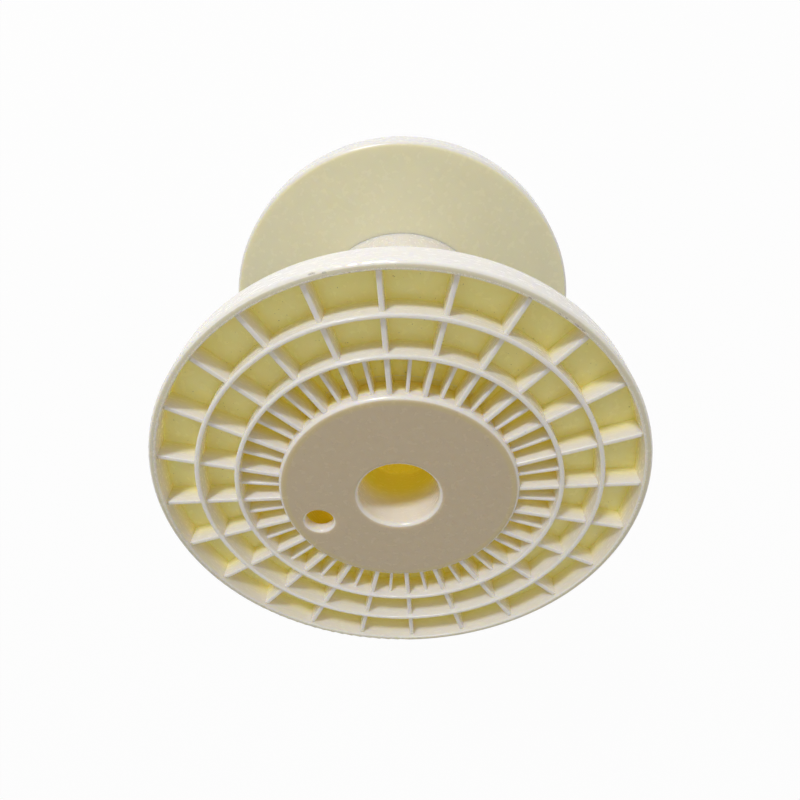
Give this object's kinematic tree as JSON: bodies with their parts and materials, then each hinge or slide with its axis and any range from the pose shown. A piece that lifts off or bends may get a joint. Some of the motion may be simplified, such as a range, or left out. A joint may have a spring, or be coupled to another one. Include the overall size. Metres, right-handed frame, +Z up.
{
  "type": "plastic wire reel",
  "caption": "Ribbed plastic reel for wire: a hollow barrel between round flanges with radial ribs, ring walls, a spindle bore and an offset drive hole.",
  "frame": {"origin": "centre of the floor circle under the bottom flange, on the reel's axis", "axes": "+Z up along the reel's axis, from the bottom flange to the top flange; the drive holes lie 24 degrees from +X towards +Y"},
  "size_m": [0.3, 0.3, 0.26],
  "materials": {
    "cream_plastic": "semi-gloss moulded, cream"
  },
  "bodies": {
    "root": {"top_flange": "cream_plastic", "bottom_flange": "cream_plastic", "barrel": "cream_plastic"}
  },
  "joints": []
}
